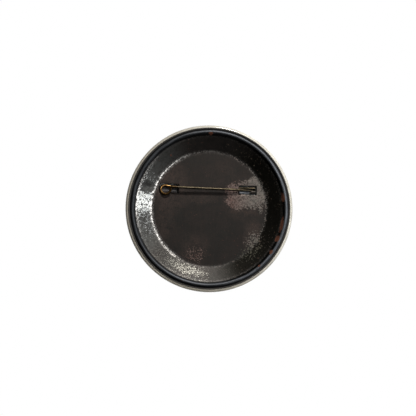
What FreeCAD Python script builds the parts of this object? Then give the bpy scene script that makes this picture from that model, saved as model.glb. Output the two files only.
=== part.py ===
import FreeCAD, Part
import math
import os

# Round pin-back button badge, as worn: its printed face looks along +Y, its pin side along -Y.
# +Z is up and +X is to the right of someone who looks at the pin side. The origin is the centre
# of the badge's box, and every length is in millimetres.

V = FreeCAD.Vector

# Whole badge
OUTER_RADIUS = 29.0
THICKNESS = 8.4
BACK_Y = -THICKNESS / 2
FRONT_Y = THICKNESS / 2

# Three thin layers share one outline: clear film outside, printed paper, tinplate shell inside
FILM_THICKNESS = 0.10
PAPER_THICKNESS = 0.15
SHELL_THICKNESS = 0.28
DOME_RADIUS = 170.0
CORNER_RADIUS = 2.6
CURL_RADIUS = 1.0
CURL_SETBACK = 0.55
HEM_RADIUS = 27.4
HEM_BEND_RADIUS = 0.58
HEM_END_Y = BACK_Y + 2.2

# Back plate: rolled rim, sloping wall and a flat disc
PLATE_THICKNESS = 0.30
PLATE_WALL_RADIUS = 27.35
PLATE_WALL_END_Y = BACK_Y + 2.9
RIM_BEND_RADIUS = 0.8
RIM_INNER_SLOPE_DEG = 60.0
CREASE_RADIUS = 25.5
CREASE_BEND = 0.35
DISC_RADIUS = 20.15
DISC_BEND = 2.5
DISC_DEPTH = 3.5

# Two windows in the disc, one for the wire's loop and one for its point
WINDOW_BOTTOM_Z = 5.0
WINDOW_TOP_Z = 8.4
WINDOW_CORNER = 0.45
LOOP_WINDOW_X = (-17.55, -10.7)
POINT_WINDOW_X = (10.1, 16.5)

# Tongues struck inwards from the windows' lower edges, which carry the wire's base leg
TONGUE_ROOT_Z = 4.6
TONGUE_BEND_Z = 5.2
TONGUE_FLAT_Z = 6.1
TONGUE_END_Z = 7.75
TONGUE_DEPTH = 1.38
TONGUE_BEND = 0.35
LOOP_TONGUE_X = (-16.85, -11.3)
POINT_TONGUE_X = (10.6, 14.0)

# Catch: a narrow trough beside the point tongue, whose leaning wall holds the point
CATCH_X = (14.35, 16.1)
CATCH_THICKNESS = 0.25
CATCH_TROUGH_Z = (5.32, 5.50)
CATCH_TROUGH_DEPTH = 0.42
CATCH_LIP_Z = 6.17
CATCH_LIP_DEPTH = -0.76
CATCH_BEND = 0.12

# Pin wire, bent from one length: base leg, loop and arm
WIRE_RADIUS = 0.425
LEG_DEPTH = 0.80
LOOP_CENTRE_X = -15.3
LOOP_CENTRE_Z = 6.34
LOOP_RADIUS = 1.62
LOOP_SIDES = 8
LOOP_DEPTHS = (0.82, 0.62, -0.20, -0.74, -0.92, -1.15)
BEND_SHARE = 0.45
BEND_POINT = (-13.45, 7.25, -1.8)
BEND_GAP = 0.06
SHANK_START = (-11.7, 7.12, -2.0)
SHANK_END = (8.3, 6.78, -1.45)
TIP_POINT = (16.0, 6.6, 0.1)
TIP_RADIUS = 0.08
TAPER_LENGTH = 4.4
SHANK_START_BEND = 2.0
SHANK_END_BEND = 8.0
LEG_POINTS = ((15.9, 7.5, 0.40), (13.2, 7.5, 0.40), (11.2, 7.48, LEG_DEPTH), (-12.2, 7.3, LEG_DEPTH))


def on_disc(x, z, depth):
    """The point at x, z whose depth is counted from the disc's visible face towards the front."""
    return V(x, BACK_Y + DISC_DEPTH + depth, z)


def arc_edge(centre_r, centre_y, radius, start_deg, end_deg):
    """An arc in the outline's plane, with the radius from the axis as X."""
    points = []
    for angle in (start_deg, (start_deg + end_deg) / 2, end_deg):
        turn = math.radians(angle)
        points.append(V(centre_r + radius * math.cos(turn), centre_y + radius * math.sin(turn), 0))
    return Part.Arc(*points).toShape()


def bent_path(points, radii):
    """Straight runs through the points, joined by tangent arcs of the given radii at the inner ones."""
    edges = []
    start = points[0]
    for before, corner, after, radius in zip(points, points[1:], points[2:], radii):
        towards_before = (before - corner).normalize()
        towards_after = (after - corner).normalize()
        half_angle = towards_before.getAngle(towards_after) / 2
        arc_start = corner + towards_before * (radius / math.tan(half_angle))
        arc_end = corner + towards_after * (radius / math.tan(half_angle))
        middle = (towards_before + towards_after).normalize()
        arc_middle = corner + middle * (radius / math.sin(half_angle) - radius)
        if (arc_start - start).Length > 1e-6:
            edges.append(Part.LineSegment(start, arc_start).toShape())
        edges.append(Part.Arc(arc_start, arc_middle, arc_end).toShape())
        start = arc_end
    edges.append(Part.LineSegment(start, points[-1]).toShape())
    return edges


def natural_radii(points):
    """For each inner point, a bend whose arc starts BEND_SHARE of the shorter run away."""
    radii = []
    for before, corner, after in zip(points, points[1:], points[2:]):
        shorter = min((before - corner).Length, (after - corner).Length)
        half_turn = (math.pi - (before - corner).getAngle(after - corner)) / 2
        radii.append(BEND_SHARE * shorter / math.tan(half_turn))
    return radii


def turned(face):
    return face.revolve(V(0, 0, 0), V(0, 1, 0), 360)


def wrap_outline(inset):
    """The badge's outer outline from the front's centre to the hem's end, moved inwards by inset."""
    corner_r = OUTER_RADIUS - CORNER_RADIUS
    dome_y = FRONT_Y - DOME_RADIUS
    corner_y = dome_y + math.sqrt((DOME_RADIUS - CORNER_RADIUS) ** 2 - corner_r**2)
    tangent_deg = math.degrees(math.atan2(corner_y - dome_y, corner_r))
    curl_r = OUTER_RADIUS - CURL_RADIUS
    curl_y = BACK_Y + CURL_SETBACK + CURL_RADIUS
    hem_r = HEM_RADIUS + HEM_BEND_RADIUS
    hem_y = BACK_Y + CURL_SETBACK + HEM_BEND_RADIUS
    side_r = OUTER_RADIUS - inset
    crest_y = BACK_Y + CURL_SETBACK + inset
    hem_wall_r = HEM_RADIUS + inset
    return [
        arc_edge(0, dome_y, DOME_RADIUS - inset, 90, tangent_deg),
        arc_edge(corner_r, corner_y, CORNER_RADIUS - inset, tangent_deg, 0),
        Part.LineSegment(V(side_r, corner_y, 0), V(side_r, curl_y, 0)).toShape(),
        arc_edge(curl_r, curl_y, CURL_RADIUS - inset, 0, -90),
        Part.LineSegment(V(curl_r, crest_y, 0), V(hem_r, crest_y, 0)).toShape(),
        arc_edge(hem_r, hem_y, HEM_BEND_RADIUS - inset, -90, -180),
        Part.LineSegment(V(hem_wall_r, hem_y, 0), V(hem_wall_r, HEM_END_Y, 0)).toShape(),
    ]


def wrapped_layer(outer_inset, thickness):
    """One layer of the front, turned about the badge's axis."""
    inner_inset = outer_inset + thickness
    axis_end = Part.LineSegment(V(0, FRONT_Y - outer_inset, 0), V(0, FRONT_Y - inner_inset, 0))
    hem_end = Part.LineSegment(
        V(HEM_RADIUS + outer_inset, HEM_END_Y, 0), V(HEM_RADIUS + inner_inset, HEM_END_Y, 0)
    )
    edges = wrap_outline(outer_inset) + [hem_end.toShape()] + wrap_outline(inner_inset)
    wire = Part.Wire(Part.__sortEdges__(edges + [axis_end.toShape()]))
    return turned(Part.Face(wire))


def clear_film():
    return wrapped_layer(0, FILM_THICKNESS)


def printed_paper():
    return wrapped_layer(FILM_THICKNESS, PAPER_THICKNESS)


def front_shell():
    return wrapped_layer(FILM_THICKNESS + PAPER_THICKNESS, SHELL_THICKNESS)


def plate_dish():
    """The rolled rim, sloping wall and flat disc, as one even sheet."""
    crest_r = PLATE_WALL_RADIUS - RIM_BEND_RADIUS
    bend_y = BACK_Y + RIM_BEND_RADIUS
    slope_end_deg = -90 - RIM_INNER_SLOPE_DEG
    slope_turn = math.radians(slope_end_deg)
    inner_slope = V(
        crest_r + RIM_BEND_RADIUS * math.cos(slope_turn),
        bend_y + RIM_BEND_RADIUS * math.sin(slope_turn),
        0,
    )
    edges = [
        Part.LineSegment(
            V(PLATE_WALL_RADIUS, PLATE_WALL_END_Y, 0), V(PLATE_WALL_RADIUS, bend_y, 0)
        ).toShape(),
        arc_edge(crest_r, bend_y, RIM_BEND_RADIUS, 0, slope_end_deg),
    ]
    crease_y = inner_slope.y + (inner_slope.x - CREASE_RADIUS) * math.tan(
        math.radians(RIM_INNER_SLOPE_DEG)
    )
    dish = [
        inner_slope,
        V(CREASE_RADIUS, crease_y, 0),
        V(DISC_RADIUS, BACK_Y + DISC_DEPTH, 0),
        V(0, BACK_Y + DISC_DEPTH, 0),
    ]
    edges += bent_path(dish, (CREASE_BEND, DISC_BEND))
    sheet = Part.Wire(edges).makeOffset2D(PLATE_THICKNESS, 0, True, True)
    return turned(sheet)


def window(x_range):
    """The block that is cut out of the disc for one window."""
    width = x_range[1] - x_range[0]
    height = WINDOW_TOP_Z - WINDOW_BOTTOM_Z
    corner = on_disc(x_range[0], WINDOW_BOTTOM_Z, -PLATE_THICKNESS)
    block = Part.makeBox(width, 3 * PLATE_THICKNESS, height, corner)
    upright = [e for e in block.Edges if abs(e.tangentAt(e.FirstParameter).y) > 0.9]
    return block.makeFillet(WINDOW_CORNER, upright)


def strip(x_range, outline, bends, thickness):
    """A bent strip of the plate: outline is (z, depth) of its visible face."""
    points = [on_disc(0, z, depth) for z, depth in outline]
    face = Part.Wire(bent_path(points, bends)).makeOffset2D(thickness, 0, True, True)
    root_middle = points[0] + (points[1] - points[0]) / 4 + V(0, thickness / 2, 0)
    if not face.isInside(root_middle, 1e-6, True):
        face = Part.Wire(bent_path(points, bends)).makeOffset2D(-thickness, 0, True, True)
    face.translate(V(x_range[0], 0, 0))
    return face.extrude(V(x_range[1] - x_range[0], 0, 0))


def tongue(x_range):
    outline = (
        (TONGUE_ROOT_Z, 0),
        (TONGUE_BEND_Z, 0),
        (TONGUE_FLAT_Z, TONGUE_DEPTH),
        (TONGUE_END_Z, TONGUE_DEPTH),
    )
    return strip(x_range, outline, (TONGUE_BEND, TONGUE_BEND), PLATE_THICKNESS)


def catch():
    trough_start_z, trough_end_z = CATCH_TROUGH_Z
    outline = (
        (TONGUE_ROOT_Z, 0),
        (TONGUE_BEND_Z, 0),
        (trough_start_z, CATCH_TROUGH_DEPTH),
        (trough_end_z, CATCH_TROUGH_DEPTH),
        (CATCH_LIP_Z, CATCH_LIP_DEPTH),
    )
    return strip(CATCH_X, outline, (TONGUE_BEND, CATCH_BEND, CATCH_BEND), CATCH_THICKNESS)


def back_plate():
    plate = plate_dish()
    for x_range in (LOOP_WINDOW_X, POINT_WINDOW_X):
        plate = plate.cut(window(x_range))
    for piece in (tongue(LOOP_TONGUE_X), tongue(POINT_TONGUE_X), catch()):
        plate = plate.fuse(piece)
    return plate.removeSplitter().Solids[0]


def wire_along(edges):
    """Round wire swept along a path that starts with a straight run."""
    path = Part.Wire(edges)
    start = edges[0].valueAt(edges[0].FirstParameter)
    heading = edges[0].tangentAt(edges[0].FirstParameter)
    section = Part.Wire(Part.makeCircle(WIRE_RADIUS, start, heading))
    return path.makePipeShell([section], True, False)


def loop_points():
    """Corners of the loop from its top round by the left, the bottom and the right."""
    step = 360 / LOOP_SIDES
    corner_radius = LOOP_RADIUS / math.cos(math.radians(step / 2))
    points = []
    for index, depth in enumerate(LOOP_DEPTHS):
        turn = math.radians(90 + step * (index + 0.5))
        x = LOOP_CENTRE_X + corner_radius * math.cos(turn)
        z = LOOP_CENTRE_Z + corner_radius * math.sin(turn)
        points.append(on_disc(x, z, depth))
    return points


def pin_spring():
    """The fixed part of the wire: the base leg under the disc and the loop."""
    points = [on_disc(*point) for point in LEG_POINTS] + loop_points()
    bend = on_disc(*BEND_POINT)
    back = (points[-1] - bend).normalize()
    points.append(bend + back * (WIRE_RADIUS + BEND_GAP))
    return wire_along(bent_path(points, natural_radii(points)))


def pin_arm():
    """The moving part of the wire, from the bend beside the loop to its point."""
    bend = on_disc(*BEND_POINT)
    tip = on_disc(*TIP_POINT)
    end_heading = (tip - on_disc(*SHANK_END)).normalize()
    taper_start = tip - end_heading * TAPER_LENGTH
    points = [bend, on_disc(*SHANK_START), on_disc(*SHANK_END), taper_start]
    arm = wire_along(bent_path(points, (SHANK_START_BEND, SHANK_END_BEND)))
    taper = Part.makeCone(WIRE_RADIUS, TIP_RADIUS, TAPER_LENGTH, taper_start, end_heading)
    for piece in (taper, Part.makeSphere(TIP_RADIUS, tip), Part.makeSphere(WIRE_RADIUS, bend)):
        arm = arm.fuse(piece)
    return arm.removeSplitter().Solids[0]


NODES = {
    "front_shell": front_shell,
    "printed_paper": printed_paper,
    "clear_film": clear_film,
    "back_plate": back_plate,
    "pin_spring": pin_spring,
    "pin_arm": pin_arm,
}

os.makedirs("parts", exist_ok=True)
for name, make in NODES.items():
    shape = make()
    box = shape.BoundBox
    print(
        name, shape.ShapeType, "valid", shape.isValid(), "solids", len(shape.Solids),
        "volume", round(shape.Volume, 2), "x", round(box.XMin, 2), round(box.XMax, 2),
        "y", round(box.YMin, 2), round(box.YMax, 2), "z", round(box.ZMin, 2), round(box.ZMax, 2),
    )
    shape.exportStep("parts/" + name + ".step")
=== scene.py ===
"""Worn pin-back button badge, seen from its pin side.

The badge's sizes are in millimetres until a mesh is made; the camera and the lights are in metres.
"""

import math

import bpy
import numpy as np
from mathutils import Matrix, Vector, noise
from mathutils.geometry import delaunay_2d_cdt


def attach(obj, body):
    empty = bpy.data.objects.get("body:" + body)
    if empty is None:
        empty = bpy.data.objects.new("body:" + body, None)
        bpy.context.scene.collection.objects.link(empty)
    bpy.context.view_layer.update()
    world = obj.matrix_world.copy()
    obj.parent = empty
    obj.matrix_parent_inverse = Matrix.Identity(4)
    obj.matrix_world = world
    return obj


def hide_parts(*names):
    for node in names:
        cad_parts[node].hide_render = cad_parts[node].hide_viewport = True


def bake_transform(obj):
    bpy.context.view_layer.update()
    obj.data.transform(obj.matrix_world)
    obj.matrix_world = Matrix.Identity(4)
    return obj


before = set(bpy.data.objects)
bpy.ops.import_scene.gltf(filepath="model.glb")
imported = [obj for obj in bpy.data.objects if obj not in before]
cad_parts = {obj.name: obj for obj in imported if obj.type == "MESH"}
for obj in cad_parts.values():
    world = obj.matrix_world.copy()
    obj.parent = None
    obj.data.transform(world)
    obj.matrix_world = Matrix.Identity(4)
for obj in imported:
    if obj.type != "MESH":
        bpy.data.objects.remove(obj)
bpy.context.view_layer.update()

MM = 0.001

# ---------------------------------------------------------------- camera
VIEW_AZIMUTH = -2.5
VIEW_ELEVATION = -4.0
VIEW_ROLL = 1.3
VIEW_DISTANCE = 0.3428
LENS = 85.0
VIEW_TARGET = (-0.00035, 0.0, 0.0003)


def direction(azimuth, elevation):
    """Unit vector from the badge towards a place on its pin side."""
    a, e = math.radians(azimuth), math.radians(elevation)
    return Vector((math.sin(a) * math.cos(e), -math.cos(a) * math.cos(e), math.sin(e)))


def aimed(obj, place, target=(0, 0, 0), roll=0.0):
    """Puts obj at place with its -Z axis on target."""
    turn = (Vector(target) - Vector(place)).to_track_quat("-Z", "Y").to_matrix().to_4x4()
    obj.matrix_world = Matrix.Translation(place) @ turn @ Matrix.Rotation(math.radians(roll), 4, "Z")
    bpy.context.scene.collection.objects.link(obj)
    return obj


lens = bpy.data.cameras.new("camera")
lens.lens = LENS
lens.clip_start = 0.01
camera = bpy.data.objects.new("camera", lens)
aimed(camera, direction(VIEW_AZIMUTH, VIEW_ELEVATION) * VIEW_DISTANCE, target=VIEW_TARGET, roll=VIEW_ROLL)
bpy.context.scene.camera = camera
bpy.context.scene.view_settings.view_transform = "Standard"

# ---------------------------------------------------------------- sizes, as the CAD has them
OUTER_RADIUS = 29.0
BACK_Y, FRONT_Y = -4.2, 4.2
DISC_Y = -0.7
DOME_RADIUS = 170.0
CORNER_RADIUS = 2.6
CURL_RADIUS = 1.0
CURL_SETBACK = 0.55
HEM_RADIUS = 27.4
HEM_BEND = 0.58
HEM_END_Y = -2.0
GROOVE_RADIUS = 28.0
FILM = 0.10
PAPER = 0.15

PLATE = 0.30
WALL_RADIUS = 27.35
WALL_HEIGHT = 2.9
RIM_BEND = 0.8
RIM_SLOPE = 60.0
CREASE_RADIUS = 25.5
CREASE_BEND = 0.35
DISC_RADIUS = 20.15
DISC_BEND = 2.5
FLAT_RADIUS = 19.64

WINDOW_Z = (5.0, 8.4)
WINDOW_CORNER = 0.45
LOOP_WINDOW = (-17.55, -10.7)
POINT_WINDOW = (10.1, 16.5)

WIRE = 0.425
LEG = ((15.9, 7.5, 0.40), (13.2, 7.5, 0.40), (11.2, 7.48, 0.80), (-12.2, 7.3, 0.80))
LOOP_CENTRE = (-15.3, 6.34)
LOOP_RADIUS = 1.62
LOOP_DEPTHS = (0.82, 0.62, -0.20, -0.74, -0.92, -1.15)
BEND = (-13.45, 7.25, -1.8)
ARM = ((-11.7, 7.12, -2.0), (8.3, 6.78, -1.45), (16.0, 6.6, 0.1))
TAPER = 4.4
TIP = 0.08
BEND_SHARE = 0.45
KNEE_BEND = 0.52
SHANK_BENDS = (2.0, 8.0)
# Where the base leg ends and the loop begins
LEG_END_X = -15.45


def on_disc(x, z, depth):
    """The point at x, z whose depth is counted from the disc's visible face towards the front."""
    return np.array((x, DISC_Y + depth, z), float)


# ---------------------------------------------------------------- outlines
def arc(centre_r, centre_y, radius, start, end, steps):
    """Points of an arc in the outline's plane, with the radius from the axis as X."""
    turns = np.radians(np.linspace(start, end, steps + 1))
    return [(centre_r + radius * math.cos(t), centre_y + radius * math.sin(t), 0) for t in turns]


def run(start, end, step):
    """Points from start to end, evenly apart, without the last one."""
    start, end = np.array(start, float), np.array(end, float)
    count = max(1, int(round(np.linalg.norm(end - start) / step)))
    return [start + (end - start) * k / count for k in range(count)]


def bent_points(points, radii, step=0.5, arc_step=6.0):
    """Straight runs through the points, joined by tangent arcs at the inner ones."""
    points = [np.array(p, float) for p in points]
    made, start = [], points[0]
    for before, corner, after, radius in zip(points, points[1:], points[2:], radii):
        a = (before - corner) / np.linalg.norm(before - corner)
        b = (after - corner) / np.linalg.norm(after - corner)
        half = math.acos(np.clip(a @ b, -1, 1)) / 2
        back = radius / math.tan(half)
        middle = (a + b) / np.linalg.norm(a + b)
        centre = corner + middle * radius / math.sin(half)
        made += run(start, corner + a * back, step)
        u, v = (corner + a * back - centre) / radius, -a
        turn = math.pi - 2 * half
        count = max(2, int(math.degrees(turn) / arc_step))
        sweep = np.linspace(0, turn, count + 1)[:-1]
        made += [centre + radius * (u * math.cos(t) + v * math.sin(t)) for t in sweep]
        start = corner + b * back
    return made + run(start, points[-1], step) + [points[-1]]


def natural_radii(points):
    """For each inner point, a bend whose arc starts BEND_SHARE of the shorter run away."""
    radii = []
    for before, corner, after in zip(points, points[1:], points[2:]):
        a, b = before - corner, after - corner
        la, lb = np.linalg.norm(a), np.linalg.norm(b)
        half_turn = (math.pi - math.acos(np.clip(a @ b / la / lb, -1, 1))) / 2
        radii.append(BEND_SHARE * min(la, lb) / math.tan(half_turn))
    return radii


def wrap_outline(inset):
    """The front's outline (radius, y) from its centre round the edge to the hem's end."""
    corner_r = OUTER_RADIUS - CORNER_RADIUS
    dome_y = FRONT_Y - DOME_RADIUS
    corner_y = dome_y + math.sqrt((DOME_RADIUS - CORNER_RADIUS) ** 2 - corner_r**2)
    tangent = math.degrees(math.atan2(corner_y - dome_y, corner_r))
    curl_r, curl_y = OUTER_RADIUS - CURL_RADIUS, BACK_Y + CURL_SETBACK + CURL_RADIUS
    hem_r, hem_y = HEM_RADIUS + HEM_BEND, BACK_Y + CURL_SETBACK + HEM_BEND
    points = arc(0, dome_y, DOME_RADIUS - inset, 90, tangent, 36)
    points += arc(corner_r, corner_y, CORNER_RADIUS - inset, tangent, 0, 14)[1:]
    side_r = OUTER_RADIUS - inset
    points += run((side_r, corner_y, 0), (side_r, curl_y, 0), 0.5)[1:]
    points += arc(curl_r, curl_y, CURL_RADIUS - inset, 0, -90, 12)
    points += arc(hem_r, hem_y, HEM_BEND - inset, -90, -180, 8)[1:]
    points += [(HEM_RADIUS + inset, y, 0) for y in np.linspace(hem_y, HEM_END_Y, 5)[1:]]
    return [(p[0], p[1]) for p in points]


def plate_outline():
    """The plate's visible face (radius, y) from the end of its outer wall in to the flat disc."""
    crest_r, bend_y = WALL_RADIUS - RIM_BEND, BACK_Y + RIM_BEND
    points = run((WALL_RADIUS, BACK_Y + WALL_HEIGHT, 0), (WALL_RADIUS, bend_y, 0), 0.5)
    rim = arc(crest_r, bend_y, RIM_BEND, 0, -90 - RIM_SLOPE, 22)
    points += rim[:-1]
    slope = np.array(rim[-1])
    crease_y = slope[1] + (slope[0] - CREASE_RADIUS) * math.tan(math.radians(RIM_SLOPE))
    corners = [slope, (CREASE_RADIUS, crease_y, 0), (DISC_RADIUS, DISC_Y, 0), (FLAT_RADIUS, DISC_Y, 0)]
    points += bent_points(corners, (CREASE_BEND, DISC_BEND), step=0.16, arc_step=1.6)
    return [(p[0], p[1]) for p in points]


# ---------------------------------------------------------------- meshes
def smooth_noise(x, z, scale, seed):
    """Noise of about -1 to 1 whose features are scale millimetres across."""
    return noise.noise(Vector((x / scale + seed, -seed, z / scale + 2 * seed)))


def made_mesh(name, verts, faces, attributes=None, sharp=35.0):
    """An object from millimetre points, shaded smooth, with float attributes per vertex."""
    mesh = bpy.data.meshes.new(name)
    points = [tuple(float(c) * MM for c in v) for v in verts]
    mesh.from_pydata(points, [], [tuple(int(i) for i in f) for f in faces])
    mesh.validate()
    for key, values in (attributes or {}).items():
        mesh.attributes.new(key, "FLOAT", "POINT").data.foreach_set("value", np.asarray(values, np.float32))
    mesh.shade_smooth()
    mesh.set_sharp_from_angle(angle=math.radians(sharp))
    obj = bpy.data.objects.new(name, mesh)
    bpy.context.scene.collection.objects.link(obj)
    return obj


def turned_faces(rows, segments):
    """Quads between the rows of a turned outline; every row has the same number of points."""
    faces = []
    for i in range(rows - 1):
        a, b = i * segments, (i + 1) * segments
        faces += [(a + k, a + (k + 1) % segments, b + (k + 1) % segments, b + k) for k in range(segments)]
    return faces


def swept(name, path, radius_at, sides=20):
    """A round bar along path. radius_at gives the radius for each share of its length."""
    path = np.array(path)
    steps = np.linalg.norm(np.diff(path, axis=0), axis=1)
    along = np.concatenate(([0], np.cumsum(steps)))
    tangents = np.gradient(path, axis=0)
    tangents /= np.linalg.norm(tangents, axis=1)[:, None]
    side = np.cross(tangents[0], (0.0, 1.0, 0.3))
    verts, lengths, turns = [], [], []
    for p, t, s in zip(path, tangents, along):
        side = side - t * (side @ t)
        side /= np.linalg.norm(side)
        other = np.cross(t, side)
        r = radius_at(s, along[-1])
        for k in range(sides):
            a = 2 * math.pi * k / sides
            verts.append(p + r * (side * math.cos(a) + other * math.sin(a)))
            lengths.append(s)
            turns.append(a)
    count = len(path)
    faces = turned_faces(count, sides)
    faces.append(tuple(reversed(range(sides))))
    faces.append(tuple((count - 1) * sides + k for k in range(sides)))
    warm = np.clip((-11.0 - np.array(verts)[:, 0]) / 3.0, 0, 1)
    return made_mesh(name, verts, faces, {"along": lengths, "around": turns, "warm": warm})


def rounded_window(x_range, offset, breaks):
    """Outline of a window grown by offset, with points of its lower edge at the given x."""
    low, high = WINDOW_Z
    radius = WINDOW_CORNER + offset
    x0, x1 = x_range[0] + WINDOW_CORNER, x_range[1] - WINDOW_CORNER
    z0, z1 = low + WINDOW_CORNER, high - WINDOW_CORNER

    def corner(cx, cz, start):
        turns = np.radians(np.linspace(start, start + 90, 7))
        return [(cx + radius * math.cos(t), cz + radius * math.sin(t)) for t in turns]

    points = [(x, low - offset) for x in breaks]
    points += corner(x1, z0, -90)[1:]
    points += [(x_range[1] + offset, z) for z in np.linspace(z0, z1, 8)[1:-1]]
    points += corner(x1, z1, 0)
    points += [(x, high + offset) for x in np.linspace(x1, x0, 20)[1:-1]]
    points += corner(x0, z1, 90)
    points += [(x_range[0] - offset, z) for z in np.linspace(z1, z0, 8)[1:-1]]
    points += corner(x0, z0, 180)[:-1]
    return points


def lower_edge(x_range, strips):
    """x of the points along a window's lower edge, with each strip's sides among them."""
    ends = {x_range[0] + WINDOW_CORNER, x_range[1] - WINDOW_CORNER}
    stops = sorted(ends.union(*strips))
    made = []
    for a, b in zip(stops, stops[1:]):
        count = max(1, round((b - a) / 0.3))
        made += [a + (b - a) * k / count for k in range(count)]
    return made + [stops[-1]]


# Strips bent from the windows' lower edges: x range, (z, depth) corners, bend radii
TONGUE = (((5.0, 0), (5.2, 0), (6.1, 1.38), (7.75, 1.38)), (0.35, 0.35))
CATCH = (((5.0, 0), (5.2, 0), (5.32, 0.42), (5.5, 0.42), (6.17, -0.76)), (0.25, 0.12, 0.12))
STRIPS = {
    LOOP_WINDOW: (((-16.85, -11.3), TONGUE),),
    POINT_WINDOW: (((10.6, 14.0), TONGUE), ((14.35, 16.05), CATCH)),
}

SEGMENTS = 512
# Spacing of the flat disc's points, and the height of their rows as a share of it
SHEET_STEP = 0.5
ROW_HEIGHT = 0.866
# Slack when a point is compared with the side of a strip
SAME = 1e-6
# Softened edges of the windows: how far outside the window, and how far sunk
WINDOW_EDGE = ((0.14, 0.0), (0.07, 0.008), (0.025, 0.03), (0.0, 0.07))
# Small dents of the dish: x, z, radius, depth
DENTS = ((-21.6, 7.0, 1.3, 0.26), (-20.4, 9.4, 1.0, -0.05), (21.5, -6.0, 2.0, 0.03), (-6.0, -21.4, 1.6, 0.05))


def unevenness(x, z):
    """How far the pressed sheet is from true, in y."""
    r = math.hypot(x, z)
    fade = min(1.0, max(0.0, (26.2 - r) / 1.5))
    d = 0.028 * smooth_noise(x, z, 7.0, 3.1) + 0.010 * smooth_noise(x, z, 2.6, 8.7)
    for cx, cz, size, depth in DENTS:
        d += depth * math.exp(-((x - cx) ** 2 + (z - cz) ** 2) / size**2)
    return d * fade


def within(value, limits, margin):
    """Whether value lies between the limits, widened by margin."""
    return limits[0] - margin < value < limits[1] + margin


def in_window(x, z, x_range, margin):
    """Whether the point lies in the window's box, widened by margin."""
    return within(x, x_range, margin) and within(z, WINDOW_Z, margin)


def window_rings(verts, x_range, strips, breaks):
    """Adds rings of points round a window, sunk towards it but where a strip is bent from its edge."""
    rings = []
    for offset, sink in WINDOW_EDGE:
        ring = []
        for n, (x, z) in enumerate(rounded_window(x_range, offset, breaks)):
            bent = n < len(breaks) and any(within(x, sides, SAME) for sides, _ in strips)
            ring.append(len(verts))
            verts.append((x, DISC_Y + (0 if bent else sink), z))
        rings.append(ring)
    return rings


def bent_strip(verts, breaks, edge, sides, shape):
    """Adds the points of a strip that is bent from a window's lower edge, and returns its faces."""
    columns = [n for n, x in enumerate(breaks) if within(x, sides, SAME)]
    corners, radii = shape
    profile = bent_points([(z, depth, 0) for z, depth in corners], radii, step=0.14, arc_step=9.0)[1:]
    faces, previous = [], [edge[n] for n in columns]
    for z, depth, _ in profile:
        row = []
        for n in columns:
            row.append(len(verts))
            verts.append((breaks[n], DISC_Y + depth, z))
        faces += [(previous[k], previous[k + 1], row[k + 1], row[k]) for k in range(len(row) - 1)]
        previous = row
    return faces


def disc_points():
    """Evenly spread points of the flat disc, clear of its edge and of the windows."""
    margin = 0.3
    reach = int(FLAT_RADIUS / (SHEET_STEP * ROW_HEIGHT)) + 1
    points = []
    for i in range(-reach, reach + 1):
        for j in range(-reach, reach + 1):
            x = (i + 0.5 * (j % 2)) * SHEET_STEP
            z = j * SHEET_STEP * ROW_HEIGHT
            clear = math.hypot(x, z) <= FLAT_RADIUS - margin
            if clear and not any(in_window(x, z, window, margin) for window in STRIPS):
                points.append((x, z))
    return points


def plate_mesh():
    """Points and faces of the plate's visible face, with its windows, tongues and catch."""
    outline = plate_outline()
    turns = [2 * math.pi * k / SEGMENTS for k in range(SEGMENTS)]
    verts = [(r * math.cos(t), y, r * math.sin(t)) for r, y in outline for t in turns]
    faces = turned_faces(len(outline), SEGMENTS)
    flat_index = [(len(outline) - 1) * SEGMENTS + k for k in range(SEGMENTS)]
    edges = [(k, (k + 1) % SEGMENTS) for k in range(SEGMENTS)]
    holes = {}
    for x_range, strips in STRIPS.items():
        breaks = lower_edge(x_range, [sides for sides, _ in strips])
        rings = window_rings(verts, x_range, strips, breaks)
        count = len(rings[0])
        for outer, inner in zip(rings, rings[1:]):
            for k in range(count):
                after = (k + 1) % count
                faces.append((outer[k], outer[after], inner[after], inner[k]))
        first = len(flat_index)
        flat_index += rings[0]
        edges += [(first + k, first + (k + 1) % count) for k in range(count)]
        holes[x_range] = np.array([(verts[i][0], verts[i][2]) for i in rings[0]])
        for sides, shape in strips:
            faces += bent_strip(verts, breaks, rings[-1], sides, shape)
    for x, z in disc_points():
        flat_index.append(len(verts))
        verts.append((x, DISC_Y, z))
    faces += disc_faces(verts, flat_index, edges, holes)
    return [(x, y + unevenness(x, z), z) for x, y, z in verts], faces


def disc_faces(verts, flat_index, edges, holes):
    """Triangles of the flat disc between its points, with the windows left open."""
    flat_points = [Vector((verts[i][0], verts[i][2])) for i in flat_index]
    points, _, triangles, origin, _, _ = delaunay_2d_cdt(flat_points, edges, [], 0, 1e-7)
    edge_width = WINDOW_EDGE[0][0]
    faces = []
    for tri in triangles:
        centre = sum((points[i] for i in tri), Vector((0, 0))) / 3
        near = [hole for window, hole in holes.items() if in_window(centre.x, centre.y, window, edge_width)]
        if centre.length >= FLAT_RADIUS or any(in_loop(centre, hole) for hole in near):
            continue
        face = [flat_index[origin[i][0]] for i in tri]
        a, b, c = (verts[i] for i in face)
        area = (b[0] - a[0]) * (c[2] - a[2]) - (b[2] - a[2]) * (c[0] - a[0])
        faces.append(face if area > 0 else face[::-1])
    return faces


def in_loop(point, loop):
    """Whether the point is inside the closed outline."""
    x, z = point.x, point.y
    x0, z0 = loop[:, 0], loop[:, 1]
    x1, z1 = np.roll(x0, -1), np.roll(z0, -1)
    crosses = (z0 > z) != (z1 > z)
    at = x0 + (z - z0) / np.where(z1 == z0, 1, z1 - z0) * (x1 - x0)
    return bool(np.count_nonzero(crosses & (at > x)) % 2)


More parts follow.
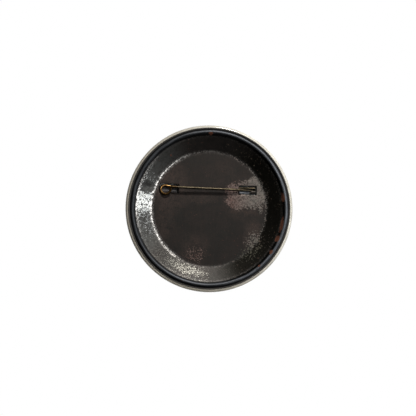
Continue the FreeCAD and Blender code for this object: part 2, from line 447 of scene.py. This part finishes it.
# ---------------------------------------------------------------- wear, as masks on the plate's points
def spot(x, z, cx, cz, rx, rz, turn=0.0):
    """1 in the middle of an oval, 0.5 on its edge, 0 a little outside."""
    c, s = math.cos(math.radians(turn)), math.sin(math.radians(turn))
    u = ((x - cx) * c + (z - cz) * s) / rx
    v = (-(x - cx) * s + (z - cz) * c) / rz
    return np.clip((1.4 - np.hypot(u, v)) / 0.8, 0, 1)


def arc_spot(radius, angle, at_radius, at_angle, half_length, half_width):
    """The same for an oval that lies along the rim; lengths are along and across it."""
    away = (angle - at_angle + 180) % 360 - 180
    along = np.radians(away) * at_radius / half_length
    return np.clip((1.4 - np.hypot(along, (radius - at_radius) / half_width)) / 0.8, 0, 1)


def band(value, low, high, soft):
    """1 between low and high, falling to 0 over soft outside them."""
    return np.clip(1 - np.maximum(low - value, value - high) / soft, 0, 1)


# Rust on the rim: angle, radius, half length, half width
RUST = (
    (9.5, 25.8, 1.5, 0.50), (-11.5, 25.7, 2.6, 0.42), (-23.0, 25.7, 1.1, 0.60), (-34.0, 26.1, 0.8, 0.50),
    (-48.0, 26.2, 0.5, 0.30), (90.2, 26.0, 0.65, 0.50), (127.0, 22.8, 0.28, 0.28),
)


# Ovals on the disc: share, x, z, half length, half height, turn in degrees
WORN = (
    (1.0, 13.6, 5.2, 6.2, 4.4, -6), (1.0, 15.8, 9.2, 2.4, 2.2, 0), (0.9, 8.6, 6.4, 2.6, 2.6, 0),
    (0.85, 8.8, 2.0, 3.4, 1.8, -25), (0.55, 18.0, 1.5, 0.9, 3.6, 0),
    (0.46, 15.8, -10.6, 3.0, 3.6, -40), (0.36, -4.6, -16.0, 3.8, 3.2, 0),
)
BROWNED = (
    (0.6, -13.5, 7.0, 7.0, 9.0, 0), (0.45, -3.5, 3.8, 7.0, 2.6, 0), (0.42, -15.5, -4.0, 3.6, 9.5, 0),
    (0.55, 12.5, 4.0, 8.0, 7.5, 0), (0.45, -4.6, -14.0, 5.5, 6.0, 0), (0.6, 15.8, -9.0, 3.6, 6.0, 0),
    (0.3, 4.0, 12.0, 7.0, 6.0, 0),
)


def spots(x, z, table):
    """The strongest of the table's ovals at each point."""
    return np.maximum.reduce([share * spot(x, z, *oval) for share, *oval in table])


def disc_masks(x, y, z, radius, angle):
    """Wear and browning of the disc, and the plain metal that is struck in below its face."""
    edge_wear = 0.46 * np.exp(-((radius - 19.9) / 0.35) ** 2) * band(angle, -30, 66, 8)
    sunk = np.clip((y - DISC_Y - 0.02) / 0.5, 0, 1) * (radius < DISC_RADIUS - 0.5)
    return {
        "worn": np.maximum(spots(x, z, WORN), edge_wear),
        "tint": np.maximum(spots(x, z, BROWNED), 0.16),
        "struck": sunk * np.where(x < 0, 0.25, 1.0),
    }


def wall_masks(x, z, radius, angle):
    """Bare tin, specks and dulling of the sloping wall, counted round from +X."""
    turn = angle % 360
    cone = band(radius, DISC_RADIUS + 0.1, CREASE_RADIUS, 0.3)
    shelf = band(turn, 144, 174, 6) * band(radius, 24.5, 25.3, 0.35)
    bare = np.maximum.reduce([
        0.04 + 0.52 * band(turn, 169, 182, 9),
        0.26 * band(turn, 152, 205, 10),
        0.42 * shelf,
        0.06 * band(turn, 205, 262, 12),
    ])
    specks = np.maximum.reduce([
        0.30 * arc_spot(radius, angle, 22.5, -110, 7.0, 1.7),
        0.07 * band(turn, 205, 268, 10),
        0.04 * band(turn, 110, 290, 20),
    ])
    olive = np.maximum.reduce([
        0.32 * arc_spot(radius, angle, 20.8, -42, 6.0, 2.8),
        0.17 * arc_spot(radius, angle, 21.8, 58, 7.0, 2.4),
        0.07 * band(angle, -70, 75, 10) * band(radius, 20.2, 24.6, 0.8),
    ])
    dull = np.maximum(band(turn, 128, 208, 18), 0.22 * band(turn, 208, 285, 15))
    tin = cone * bare * (1 - spot(x, z, -21.6, 7.0, 1.6, 1.9))
    return {"tin": tin, "sprinkle": cone * specks, "olive": olive, "dull": cone * dull}


def crease_mask(radius, angle):
    """Polished lines along the wall's inner and outer bends."""
    turn = angle % 360
    inner_line = np.exp(-((radius - DISC_RADIUS) / 0.42) ** 2)
    outer_line = np.exp(-((radius - CREASE_RADIUS + 0.30) / 0.34) ** 2)
    inner = np.maximum(0.05 + 0.10 * band(angle, 10, 105, 12), 0.95 * band(turn, 122, 232, 14))
    return inner_line * inner + outer_line * (0.06 + 0.8 * band(turn, 142, 196, 8))


def painted_shade_mask(radius, angle):
    """Painted shade: the wall's right half, and the rim all round but for its right, made darker."""
    wall = band(angle, -62, 48, 22) * band(radius, 20.2, 25.9, 0.6)
    rim = (1 - band(angle, -55, 30, 30)) * np.clip((radius - 25.7) / 0.3, 0, 1) * 0.62
    return np.maximum(wall, rim)


def plate_masks(verts):
    """Every mask of the plate, as a value from 0 to 1 for each of its points."""
    x, y, z = np.array(verts).T
    radius, angle = np.hypot(x, z), np.degrees(np.arctan2(z, x))
    masks = disc_masks(x, y, z, radius, angle)
    masks.update(wall_masks(x, z, radius, angle))
    masks["crease"] = crease_mask(radius, angle)
    masks["painted_shade"] = painted_shade_mask(radius, angle)
    chips = [arc_spot(radius, angle, r, at, length, width) for at, r, length, width in RUST]
    masks["rust"] = np.maximum.reduce(chips)
    masks["rim"] = np.clip((radius - CREASE_RADIUS - 0.05) / 0.35, 0, 1)
    return masks


# ---------------------------------------------------------------- materials
class Shader:
    """A node material with short ways to add nodes. Vectors and scales are in millimetres."""

    def __init__(self, name):
        self.material = bpy.data.materials.new(name)
        self.material.use_nodes = True
        self.tree = self.material.node_tree
        self.tree.nodes.clear()
        coordinates = self.tree.nodes.new("ShaderNodeTexCoord")
        self.mm = self.vector("SCALE", coordinates.outputs["Object"], scale=1000.0)

    def put(self, socket, value):
        if isinstance(value, bpy.types.NodeSocket):
            self.tree.links.new(value, socket)
        elif value is not None:
            socket.default_value = value

    def vector(self, operation, a, b=None, scale=None):
        node = self.tree.nodes.new("ShaderNodeVectorMath")
        node.operation = operation
        self.put(node.inputs[0], a)
        self.put(node.inputs[1], b)
        if scale is not None:
            node.inputs["Scale"].default_value = scale
        return node.outputs["Value" if operation in ("LENGTH", "DOT_PRODUCT") else "Vector"]

    def math(self, operation, a, b=None):
        node = self.tree.nodes.new("ShaderNodeMath")
        node.operation = operation
        self.put(node.inputs[0], a)
        self.put(node.inputs[1], b)
        return node.outputs[0]

    def times(self, a, b):
        return self.math("MULTIPLY", a, b)

    def plus(self, a, b):
        return self.math("ADD", a, b)

    def axis(self, name):
        """How far along the badge's X, Y or Z."""
        node = self.tree.nodes.new("ShaderNodeSeparateXYZ")
        self.put(node.inputs[0], self.mm)
        return node.outputs[name]

    def mask(self, name):
        node = self.tree.nodes.new("ShaderNodeAttribute")
        node.attribute_name = name
        return node.outputs["Fac"]

    def noise(self, scale, detail=3.0, rough=0.6, at=None, twist=0.0):
        node = self.tree.nodes.new("ShaderNodeTexNoise")
        self.put(node.inputs["Vector"], at if at is not None else self.mm)
        self.put(node.inputs["Scale"], scale)
        self.put(node.inputs["Detail"], detail)
        self.put(node.inputs["Roughness"], rough)
        self.put(node.inputs["Distortion"], twist)
        return node.outputs["Fac"]

    def cells(self, scale):
        node = self.tree.nodes.new("ShaderNodeTexVoronoi")
        self.put(node.inputs["Vector"], self.mm)
        self.put(node.inputs["Scale"], scale)
        return node.outputs["Distance"]

    def step(self, value, low, high, to_low=0.0, to_high=1.0):
        """value mapped smoothly from low..high to to_low..to_high."""
        node = self.tree.nodes.new("ShaderNodeMapRange")
        node.interpolation_type = "SMOOTHSTEP"
        self.put(node.inputs["Value"], value)
        for key, number in zip(("From Min", "From Max", "To Min", "To Max"), (low, high, to_low, to_high)):
            self.put(node.inputs[key], number)
        return node.outputs["Result"]

    def ragged(self, mask, noise_value, amount, soft):
        """A mask whose edge is broken up by noise."""
        shifted = self.math("MULTIPLY_ADD", self.math("SUBTRACT", noise_value, 0.5), amount)
        self.put(shifted.node.inputs[2], mask)
        return self.step(shifted, 0.5 - soft, 0.5 + soft)

    def speckled(self, name, noise_value, amount, soft):
        """The named mask made ragged, and left clear where it is nothing."""
        mask = self.mask(name)
        return self.times(self.ragged(mask, noise_value, amount, soft), self.step(mask, 0.02, 0.08))

    def colour(self, factor, a, b):
        node = self.tree.nodes.new("ShaderNodeMix")
        node.data_type = "RGBA"
        self.put(node.inputs["Factor"], factor)
        for socket, value in ((node.inputs[6], a), (node.inputs[7], b)):
            self.put(socket, value if isinstance(value, bpy.types.NodeSocket) else (*value, 1.0))
        return node.outputs[2]

    def blend(self, factor, a, b):
        node = self.tree.nodes.new("ShaderNodeMix")
        self.put(node.inputs["Factor"], factor)
        self.put(node.inputs["A"], a)
        self.put(node.inputs["B"], b)
        return node.outputs["Result"]

    def bump(self, height, strength, distance):
        node = self.tree.nodes.new("ShaderNodeBump")
        self.put(node.inputs["Height"], height)
        self.put(node.inputs["Strength"], strength)
        self.put(node.inputs["Distance"], distance * MM)
        return node.outputs["Normal"]

    def principled(self, **values):
        node = self.tree.nodes.new("ShaderNodeBsdfPrincipled")
        for key, value in values.items():
            self.put(node.inputs[key.replace("_", " ")], value)
        return node.outputs["BSDF"]

    def mixed(self, factor, a, b):
        node = self.tree.nodes.new("ShaderNodeMixShader")
        for socket, value in zip(node.inputs, (factor, a, b)):
            self.put(socket, value)
        return node.outputs[0]

    def finish(self, surface):
        out = self.tree.nodes.new("ShaderNodeOutputMaterial")
        self.tree.links.new(surface, out.inputs["Surface"])
        return self.material


def round_the_axis(s, along, across):
    """Coordinates in which noise is drawn out round the badge's axis, as by turning or rolling."""
    x, z = s.axis("X"), s.axis("Z")
    r = s.math("SQRT", s.plus(s.times(x, x), s.times(z, z)))
    safe = s.math("MAXIMUM", r, 0.5)
    join = s.tree.nodes.new("ShaderNodeCombineXYZ")
    s.put(join.inputs["X"], s.times(s.math("DIVIDE", x, safe), along))
    s.put(join.inputs["Y"], s.times(s.math("DIVIDE", z, safe), along))
    s.put(join.inputs["Z"], s.times(r, across))
    return join.outputs["Vector"], r


def tarnished_tinplate():
    s = Shader("tarnished_tinplate")
    fine = s.noise(3.0, 4.0, 0.72)
    speck = s.noise(1.7, 2.0, 0.6)
    grain = s.noise(6.0, 2.0, 0.6)
    mottle = s.plus(s.times(speck, 0.45), s.times(fine, 0.55))
    broad = s.noise(0.16, 3.0, 0.55)
    blotch = s.noise(0.7, 5.0, 0.7, twist=0.6)
    upright = s.vector("MULTIPLY", s.mm, (1.0, 1.0, 0.08))
    drawn = s.noise(1.9, 3.0, 0.6, at=upright)
    rings, _ = round_the_axis(s, 5.0, 3.2)
    streak = s.noise(1.0, 4.0, 0.65, at=rings)

    dark = s.colour(s.step(broad, 0.38, 0.66), (0.0212, 0.0206, 0.0193), (0.0240, 0.0215, 0.0200))
    dark = s.colour(s.step(drawn, 0.3, 0.7, 0.0, 0.30), dark, (0.015, 0.015, 0.0145))
    clouds = s.plus(s.times(blotch, 0.5), s.times(fine, 0.5))
    tint = s.times(s.mask("tint"), s.step(clouds, 0.34, 0.66))
    dark = s.colour(tint, dark, (0.078, 0.055, 0.047))
    dull = s.times(s.mask("dull"), s.step(blotch, 0.32, 0.68, 0.35, 1.0))
    dark = s.colour(dull, dark, (0.075, 0.075, 0.071))
    # painted shade: near-black metal on the wall's right half and on the rim but for its right
    shade_tone = s.colour(s.step(fine, 0.35, 0.65), (0.0035, 0.0034, 0.0028), (0.0105, 0.0100, 0.0072))
    dark = s.colour(s.times(s.mask("painted_shade"), 0.85), dark, shade_tone)
    rosy = s.colour(s.step(s.axis("X"), 6.0, 16.0), (0.118, 0.074, 0.064), (0.124, 0.114, 0.100))
    rosy = s.colour(s.step(blotch, 0.38, 0.62, 0.0, 0.45), rosy, (0.19, 0.155, 0.14))
    worn = s.ragged(s.mask("worn"), mottle, 3.2, 0.10)
    pits = s.step(s.cells(1.3), 0.06, 0.16)
    worn_open = s.times(worn, s.step(mottle, 0.42, 0.54, 0.22, 1.0))
    colour = s.colour(worn_open, dark, rosy)
    tin = s.speckled("tin", mottle, 3.2, 0.08)
    dust = s.noise(4.2, 2.0, 0.6)
    sprinkle = s.speckled("sprinkle", dust, 3.2, 0.10)
    olive = s.speckled("olive", mottle, 3.4, 0.10)
    bright = s.colour(s.step(grain, 0.35, 0.65), (0.27, 0.265, 0.23), (0.52, 0.53, 0.53))
    colour = s.colour(olive, colour, s.colour(grain, (0.028, 0.026, 0.016), (0.085, 0.079, 0.052)))
    colour = s.colour(s.times(sprinkle, 0.75), colour, (0.20, 0.195, 0.17))
    colour = s.colour(tin, colour, bright)
    crease = s.times(s.mask("crease"), s.step(mottle, 0.46, 0.55, 0.05, 1.0))
    colour = s.colour(crease, colour, (0.60, 0.57, 0.54))
    rim = s.mask("rim")
    steel = s.colour(s.step(streak, 0.3, 0.7), (0.058, 0.062, 0.068), (0.125, 0.133, 0.146))
    # the rim's painted shade: darker all round but for its right
    steel = s.colour(s.mask("painted_shade"), steel, (0.010, 0.0103, 0.011))
    colour = s.colour(rim, colour, steel)
    struck = s.mask("struck")
    plain = s.colour(s.step(blotch, 0.4, 0.6), (0.085, 0.091, 0.102), (0.125, 0.133, 0.148))
    colour = s.colour(struck, colour, plain)
    colour = s.colour(s.times(s.math("SUBTRACT", 1.0, pits), 0.6), colour, (0.02, 0.018, 0.016))
    rust = s.ragged(s.mask("rust"), mottle, 3.4, 0.06)
    colour = s.colour(rust, colour, s.colour(grain, (0.034, 0.008, 0.002), (0.092, 0.022, 0.004)))

    rough = s.step(blotch, 0.3, 0.7, 0.54, 0.64)
    rough = s.blend(dull, rough, 0.38)
    rough = s.blend(worn_open, rough, 0.50)
    rough = s.blend(sprinkle, rough, 0.42)
    rough = s.blend(tin, rough, s.step(fine, 0.3, 0.7, 0.16, 0.34))
    rough = s.blend(crease, rough, 0.16)
    rough = s.blend(rim, rough, s.step(streak, 0.3, 0.7, 0.42, 0.56))
    rough = s.blend(struck, rough, 0.60)
    rough = s.blend(rust, rough, 0.85)
    dusty = s.math("MAXIMUM", s.times(struck, 0.75), s.times(olive, 0.8))
    dusty = s.math("MAXIMUM", s.times(rust, 0.9), dusty)
    metal = s.math("SUBTRACT", 1.0, dusty)
    height = s.plus(s.times(fine, 0.5), s.times(tin, 0.25))
    height = s.plus(height, s.times(rust, 1.2))
    normal = s.bump(height, 0.5, 0.02)
    return s.finish(s.principled(Base_Color=colour, Metallic=metal, Roughness=rough, Normal=normal))


def spring_wire():
    s = Shader("spring_wire")
    split = s.tree.nodes.new("ShaderNodeCombineXYZ")
    s.put(split.inputs["X"], s.times(s.mask("along"), 0.35))
    s.put(split.inputs["Y"], s.math("SINE", s.mask("around")))
    s.put(split.inputs["Z"], s.math("COSINE", s.mask("around")))
    lines = s.noise(2.2, 4.0, 0.65, at=split.outputs["Vector"])
    blotch = s.noise(1.1, 4.0, 0.65)
    colour = s.colour(s.step(blotch, 0.36, 0.64), (0.022, 0.016, 0.010), (0.062, 0.050, 0.032))
    colour = s.colour(s.step(lines, 0.42, 0.68, 0.0, 0.7), colour, (0.088, 0.073, 0.050))
    golden = s.colour(s.step(blotch, 0.38, 0.62), (0.085, 0.043, 0.014), (0.24, 0.138, 0.048))
    colour = s.colour(s.times(s.mask("warm"), 0.85), colour, golden)
    rough = s.step(lines, 0.3, 0.7, 0.46, 0.30)
    normal = s.bump(lines, 0.35, 0.012)
    return s.finish(s.principled(Base_Color=colour, Metallic=1.0, Roughness=rough, Normal=normal))


def shell_tinplate():
    s = Shader("shell_tinplate")
    rings, _ = round_the_axis(s, 4.0, 5.0)
    streak = s.noise(1.0, 4.0, 0.6, at=rings)
    blotch = s.noise(0.9, 4.0, 0.6)
    colour = s.colour(s.step(blotch, 0.35, 0.65), (0.16, 0.16, 0.155), (0.26, 0.26, 0.255))
    rough = s.step(streak, 0.3, 0.7, 0.28, 0.48)
    normal = s.bump(streak, 0.3, 0.01)
    return s.finish(s.principled(Base_Color=colour, Metallic=1.0, Roughness=rough, Normal=normal))


# Plain printed front: ring and disc radii
PRINT_DISC = 13.0
PRINT_RING = (20.5, 22.0)
PRINT_EDGE = 0.03


def printed_circle(s, r, radius, inside):
    """inside within the circle and 1 - inside beyond it, with a slightly soft edge."""
    return s.step(r, radius - PRINT_EDGE, radius + PRINT_EDGE, inside, 1.0 - inside)


def printed_paper():
    s = Shader("printed_paper")
    fibre = s.noise(5.0, 4.0, 0.7)
    age = s.noise(0.12, 4.0, 0.6)
    cream = s.colour(s.step(age, 0.35, 0.7), (0.84, 0.825, 0.78), (0.77, 0.75, 0.69))
    cream = s.colour(s.step(fibre, 0.3, 0.7, 0.0, 0.18), cream, (0.60, 0.56, 0.48))
    _, r = round_the_axis(s, 1.0, 1.0)
    front = s.step(s.axis("Y"), 1.4, 1.6)
    disc = s.times(printed_circle(s, r, PRINT_DISC, 1.0), front)
    inner, outer = PRINT_RING
    ring = s.times(printed_circle(s, r, inner, 0.0), printed_circle(s, r, outer, 1.0))
    ring = s.times(ring, front)
    # Where the paper turns under: grime, and painted shade that grows lighter towards the upper right, where
    # the lamps are
    lit_towards_upper_right = s.step(s.vector("DOT_PRODUCT", s.mm, (0.80, 0.0, 0.45)), -20.0, 24.0)
    grime_and_shade = s.colour(lit_towards_upper_right, (0.29, 0.27, 0.235), (0.62, 0.60, 0.55))
    grime_and_shade = s.colour(s.step(age, 0.35, 0.65, 0.0, 0.35), grime_and_shade, (0.24, 0.22, 0.18))
    cream = s.colour(s.step(s.axis("Y"), -2.6, 0.4, 1.0, 0.0), cream, grime_and_shade)
    ink = s.colour(s.step(fibre, 0.3, 0.7), (0.075, 0.17, 0.23), (0.10, 0.21, 0.27))
    ink_two = s.colour(s.step(fibre, 0.3, 0.7), (0.46, 0.10, 0.07), (0.52, 0.14, 0.09))
    colour = s.colour(disc, cream, ink)
    colour = s.colour(ring, colour, ink_two)
    stain = s.step(s.noise(0.55, 5.0, 0.68, twist=0.4), 0.60, 0.74, 0.0, 0.45)
    colour = s.colour(s.times(stain, front), colour, (0.42, 0.32, 0.19))
    uneven_r = s.plus(r, s.times(age, 3.0))
    edge = s.times(s.step(uneven_r, 27.2, 30.2, 0.0, 0.5), front)
    colour = s.colour(edge, colour, (0.50, 0.43, 0.32))
    rough = s.step(fibre, 0.3, 0.7, 0.62, 0.78)
    return s.finish(s.principled(Base_Color=colour, Roughness=rough, Normal=s.bump(fibre, 0.2, 0.01)))


def clear_film():
    s = Shader("clear_film")
    rings, r = round_the_axis(s, 6.0, 2.4)
    scuff = s.noise(1.0, 5.0, 0.7, at=rings)
    clear = s.tree.nodes.new("ShaderNodeBsdfTransparent")
    s.put(clear.inputs["Color"], s.colour(s.step(scuff, 0.3, 0.7), (0.99, 0.988, 0.98), (0.965, 0.962, 0.95)))
    gloss = s.tree.nodes.new("ShaderNodeBsdfGlossy")
    s.put(gloss.inputs["Color"], (1, 1, 1, 1))
    s.put(gloss.inputs["Roughness"], s.step(scuff, 0.35, 0.75, 0.10, 0.26))
    normal = s.bump(scuff, 0.25, 0.02)
    s.put(gloss.inputs["Normal"], normal)
    fresnel = s.tree.nodes.new("ShaderNodeFresnel")
    s.put(fresnel.inputs["IOR"], 1.5)
    s.put(fresnel.inputs["Normal"], normal)
    side = s.tree.nodes.new("ShaderNodeNewGeometry")
    outside = s.math("SUBTRACT", 1.0, side.outputs["Backfacing"])
    film = s.mixed(s.times(fresnel.outputs[0], outside), clear.outputs[0], gloss.outputs[0])
    # Painted shade: a dark matte band in the groove between the plate's rim and the turned film
    in_groove = s.step(r, GROOVE_RADIUS - 0.22, GROOVE_RADIUS + 0.16, 1.0, 0.0)
    groove_shade = s.times(in_groove, s.step(s.axis("Y"), -2.0, -1.0, 1.0, 0.0))
    groove_shade_tone = s.colour(scuff, (0.010, 0.009, 0.008), (0.030, 0.026, 0.022))
    groove_shade_surface = s.principled(Base_Color=groove_shade_tone, Roughness=0.9)
    return s.finish(s.mixed(groove_shade, film, groove_shade_surface))


# ---------------------------------------------------------------- the pieces
def baked(obj):
    """obj with its modifiers made into its mesh."""
    graph = bpy.context.evaluated_depsgraph_get()
    obj.data = bpy.data.meshes.new_from_object(obj.evaluated_get(graph))
    obj.modifiers.clear()
    return obj


def back_plate():
    """The plate as one sheet with its thickness."""
    verts, faces = plate_mesh()
    plate = made_mesh("plate_sheet", verts, faces, plate_masks(verts), sharp=60.0)
    solid = plate.modifiers.new("thickness", "SOLIDIFY")
    solid.thickness = PLATE * MM
    solid.offset = -1
    baked(plate)
    plate.data.materials.append(tarnished_tinplate())
    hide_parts("back_plate")
    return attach(plate, "badge")


def pleat(y, t):
    """Small radial pleats that the wrapped layers get where they turn under."""
    under = min(1.0, max(0.0, (BACK_Y + CURL_SETBACK + 1.2 - y) / 1.2))
    c, s = math.cos(t), math.sin(t)
    n = noise.noise(Vector((c * 34, s * 34, 1.7))) + 0.5 * noise.noise(Vector((c * 90, s * 90, 5.1)))
    slow = noise.noise(Vector((c * 3, s * 3, 9.0)))
    return 0.035 * under * n + 0.03 * slow * under


def wrapped(name, outer_inset, thickness):
    """A wrapped layer as a closed thin shell."""
    outer, inner = wrap_outline(outer_inset)[1:], wrap_outline(outer_inset + thickness)[1:]
    outline = outer + inner[::-1]
    rows = len(outline)
    verts = []
    for r, y in outline:
        for k in range(SEGMENTS):
            t = 2 * math.pi * k / SEGMENTS
            push = pleat(y, t)
            out = r + push * (1 if r > HEM_RADIUS + 0.6 else 0.3)
            verts.append((out * math.cos(t), y + max(0, push) * 0.5, out * math.sin(t)))
    faces = turned_faces(rows, SEGMENTS)
    face_y = FRONT_Y - outer_inset
    for row, y, flip in ((0, face_y, False), (rows - 1, face_y - thickness, True)):
        middle = len(verts)
        verts.append((0, y, 0))
        for k in range(SEGMENTS):
            face = (row * SEGMENTS + k, row * SEGMENTS + (k + 1) % SEGMENTS, middle)
            faces.append(face if flip else face[::-1])
    return made_mesh(name, verts, faces)


def plain_radius(s, total):
    """The wire's radius, very slightly uneven; total is there because swept gives it."""
    return WIRE + 0.006 * math.sin(1.7 * s) + 0.004 * math.sin(4.3 * s + 1)


def tapered_radius(s, total):
    """The same, ending in a point."""
    left = total - s
    if left >= TAPER:
        return plain_radius(s, total)
    return TIP * min(1.0, 0.35 + left / 0.1) + (WIRE - TIP) * (left / TAPER)


def loop_corners():
    """Corners of the loop, which are an octagon's round its centre."""
    corner = LOOP_RADIUS / math.cos(math.radians(22.5))
    corners = []
    for n, depth in enumerate(LOOP_DEPTHS):
        t = math.radians(90 + 45 * (n + 0.5))
        x, z = LOOP_CENTRE[0] + corner * math.cos(t), LOOP_CENTRE[1] + corner * math.sin(t)
        corners.append(on_disc(x, z, depth))
    return corners


def wire_pieces():
    """The wire in two pieces: the base leg, and the loop and arm."""
    material = spring_wire()
    leg = [on_disc(*p) for p in LEG]
    loop = loop_corners()
    bend = on_disc(*BEND)
    arm = [on_disc(*p) for p in ARM]
    corners = leg + loop + [bend] + arm
    radii = natural_radii(corners)
    knee = len(leg) + len(loop) - 1
    radii[knee:] = (KNEE_BEND, *SHANK_BENDS)
    path = np.array(bent_points(corners, radii, step=0.45, arc_step=9.0))
    start = next(i for i, p in enumerate(path) if p[0] < LEG_END_X)
    foot = swept("wire_base_leg", path[: start + 1], plain_radius)
    spring = swept("wire_loop_and_arm", path[start:], tapered_radius)
    foot.data.materials.append(material)
    spring.data.materials.append(material)
    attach(foot, "badge")
    lean = np.array((0.5, -0.5, 0.7))
    lean /= np.linalg.norm(lean)
    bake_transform(spring)
    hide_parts("pin_spring")
    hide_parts("pin_arm", "pin_spring")


# How much thinner the film and paper are drawn, so that their faces don't coincide
LAYER_GAP = 0.01


def front_layers():
    """The film and paper wraps, and the material of the shell under them."""
    film = wrapped("film_wrap", 0.0, FILM - LAYER_GAP)
    film.data.materials.append(clear_film())
    paper = wrapped("paper_wrap", FILM, PAPER - LAYER_GAP)
    paper.data.materials.append(printed_paper())
    for piece, node in ((film, "clear_film"), (paper, "printed_paper")):
        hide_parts(node)
        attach(piece, "badge")
    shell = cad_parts["front_shell"]
    shell.data.materials.clear()
    shell.data.materials.append(shell_tinplate())


back_plate()
wire_pieces()
front_layers()


# ---------------------------------------------------------------- light and floor
def panel(name, place, width, height, power, colour=(1, 1, 1)):
    light = bpy.data.lights.new(name, "AREA")
    light.shape = "RECTANGLE"
    light.size, light.size_y = width, height
    light.energy = power
    light.color = colour
    obj = aimed(bpy.data.objects.new(name, light), place)
    obj.visible_camera = False
    return obj


# Slightly cool daylight
DAYLIGHT = (0.97, 0.99, 1.0)
panel("side_panel", (0.669, -0.602, 0.018), 0.37, 0.19, 1.0, DAYLIGHT)
panel("tall_panel", (0.37, -0.82, 0.05), 0.34, 0.52, 1.7, DAYLIGHT)
panel("top_lamp", (0.15, -0.56, 0.56), 0.11, 0.11, 8.0, (1.0, 0.98, 0.95))
panel("behind_camera", (0.0, -0.85, 0.0), 0.5, 0.4, 0.10)


def studio_world():
    """White where the camera sees it, and a soft one-sided light for everything else."""
    world = bpy.data.worlds.new("studio")
    bpy.context.scene.world = world
    world.use_nodes = True
    nodes, links = world.node_tree.nodes, world.node_tree.links
    nodes.clear()
    seen = nodes.new("ShaderNodeBackground")
    seen.inputs["Color"].default_value = (1, 1, 1, 1)
    lit = nodes.new("ShaderNodeBackground")
    lit.inputs["Color"].default_value = (0.97, 0.98, 1.0, 1)
    # Dark on the pin side, bright behind the badge, and brighter towards the upper right
    towards = nodes.new("ShaderNodeTexCoord")
    lean = nodes.new("ShaderNodeVectorMath")
    lean.operation = "DOT_PRODUCT"
    lean.inputs[1].default_value = (0.75, 0.60, 0.28)
    strength = nodes.new("ShaderNodeMapRange")
    strength.interpolation_type = "SMOOTHSTEP"
    for key, number in (("From Min", 0.0), ("From Max", 0.85), ("To Min", 0.02), ("To Max", 0.85)):
        strength.inputs[key].default_value = number
    links.new(towards.outputs["Generated"], lean.inputs[0])
    links.new(lean.outputs["Value"], strength.inputs["Value"])
    links.new(strength.outputs["Result"], lit.inputs["Strength"])
    rays = nodes.new("ShaderNodeLightPath")
    mix = nodes.new("ShaderNodeMixShader")
    out = nodes.new("ShaderNodeOutputWorld")
    links.new(rays.outputs["Is Camera Ray"], mix.inputs[0])
    links.new(lit.outputs[0], mix.inputs[1])
    links.new(seen.outputs[0], mix.inputs[2])
    links.new(mix.outputs[0], out.inputs["Surface"])


FLOOR_Z = -100.0
FLOOR_X = (-300, 300)
FLOOR_Y = (-300, 110)
# The floor fades away between these distances from a place in front of the badge
FADE_CENTRE = (0.0, -60.0, 0.0)
FADE = (60.0, 168.0)


def pale_floor():
    s = Shader("floor")
    grain = s.noise(0.3, 4.0, 0.6)
    pale = s.colour(grain, (0.78, 0.78, 0.77), (0.82, 0.82, 0.81))
    plain = s.principled(Base_Color=pale, Roughness=0.8)
    gone = s.tree.nodes.new("ShaderNodeBsdfTransparent").outputs[0]
    level = s.vector("MULTIPLY", s.mm, (1.0, 1.0, 0.0))
    away = s.vector("LENGTH", s.vector("SUBTRACT", level, FADE_CENTRE))
    return s.finish(s.mixed(s.step(away, *FADE), plain, gone))


studio_world()
(x0, x1), (y0, y1) = FLOOR_X, FLOOR_Y
floor_corners = [(x0, y0, FLOOR_Z), (x1, y0, FLOOR_Z), (x1, y1, FLOOR_Z), (x0, y1, FLOOR_Z)]
floor = made_mesh("floor", floor_corners, [(0, 1, 2, 3)])
floor.data.materials.append(pale_floor())
floor.visible_glossy = False
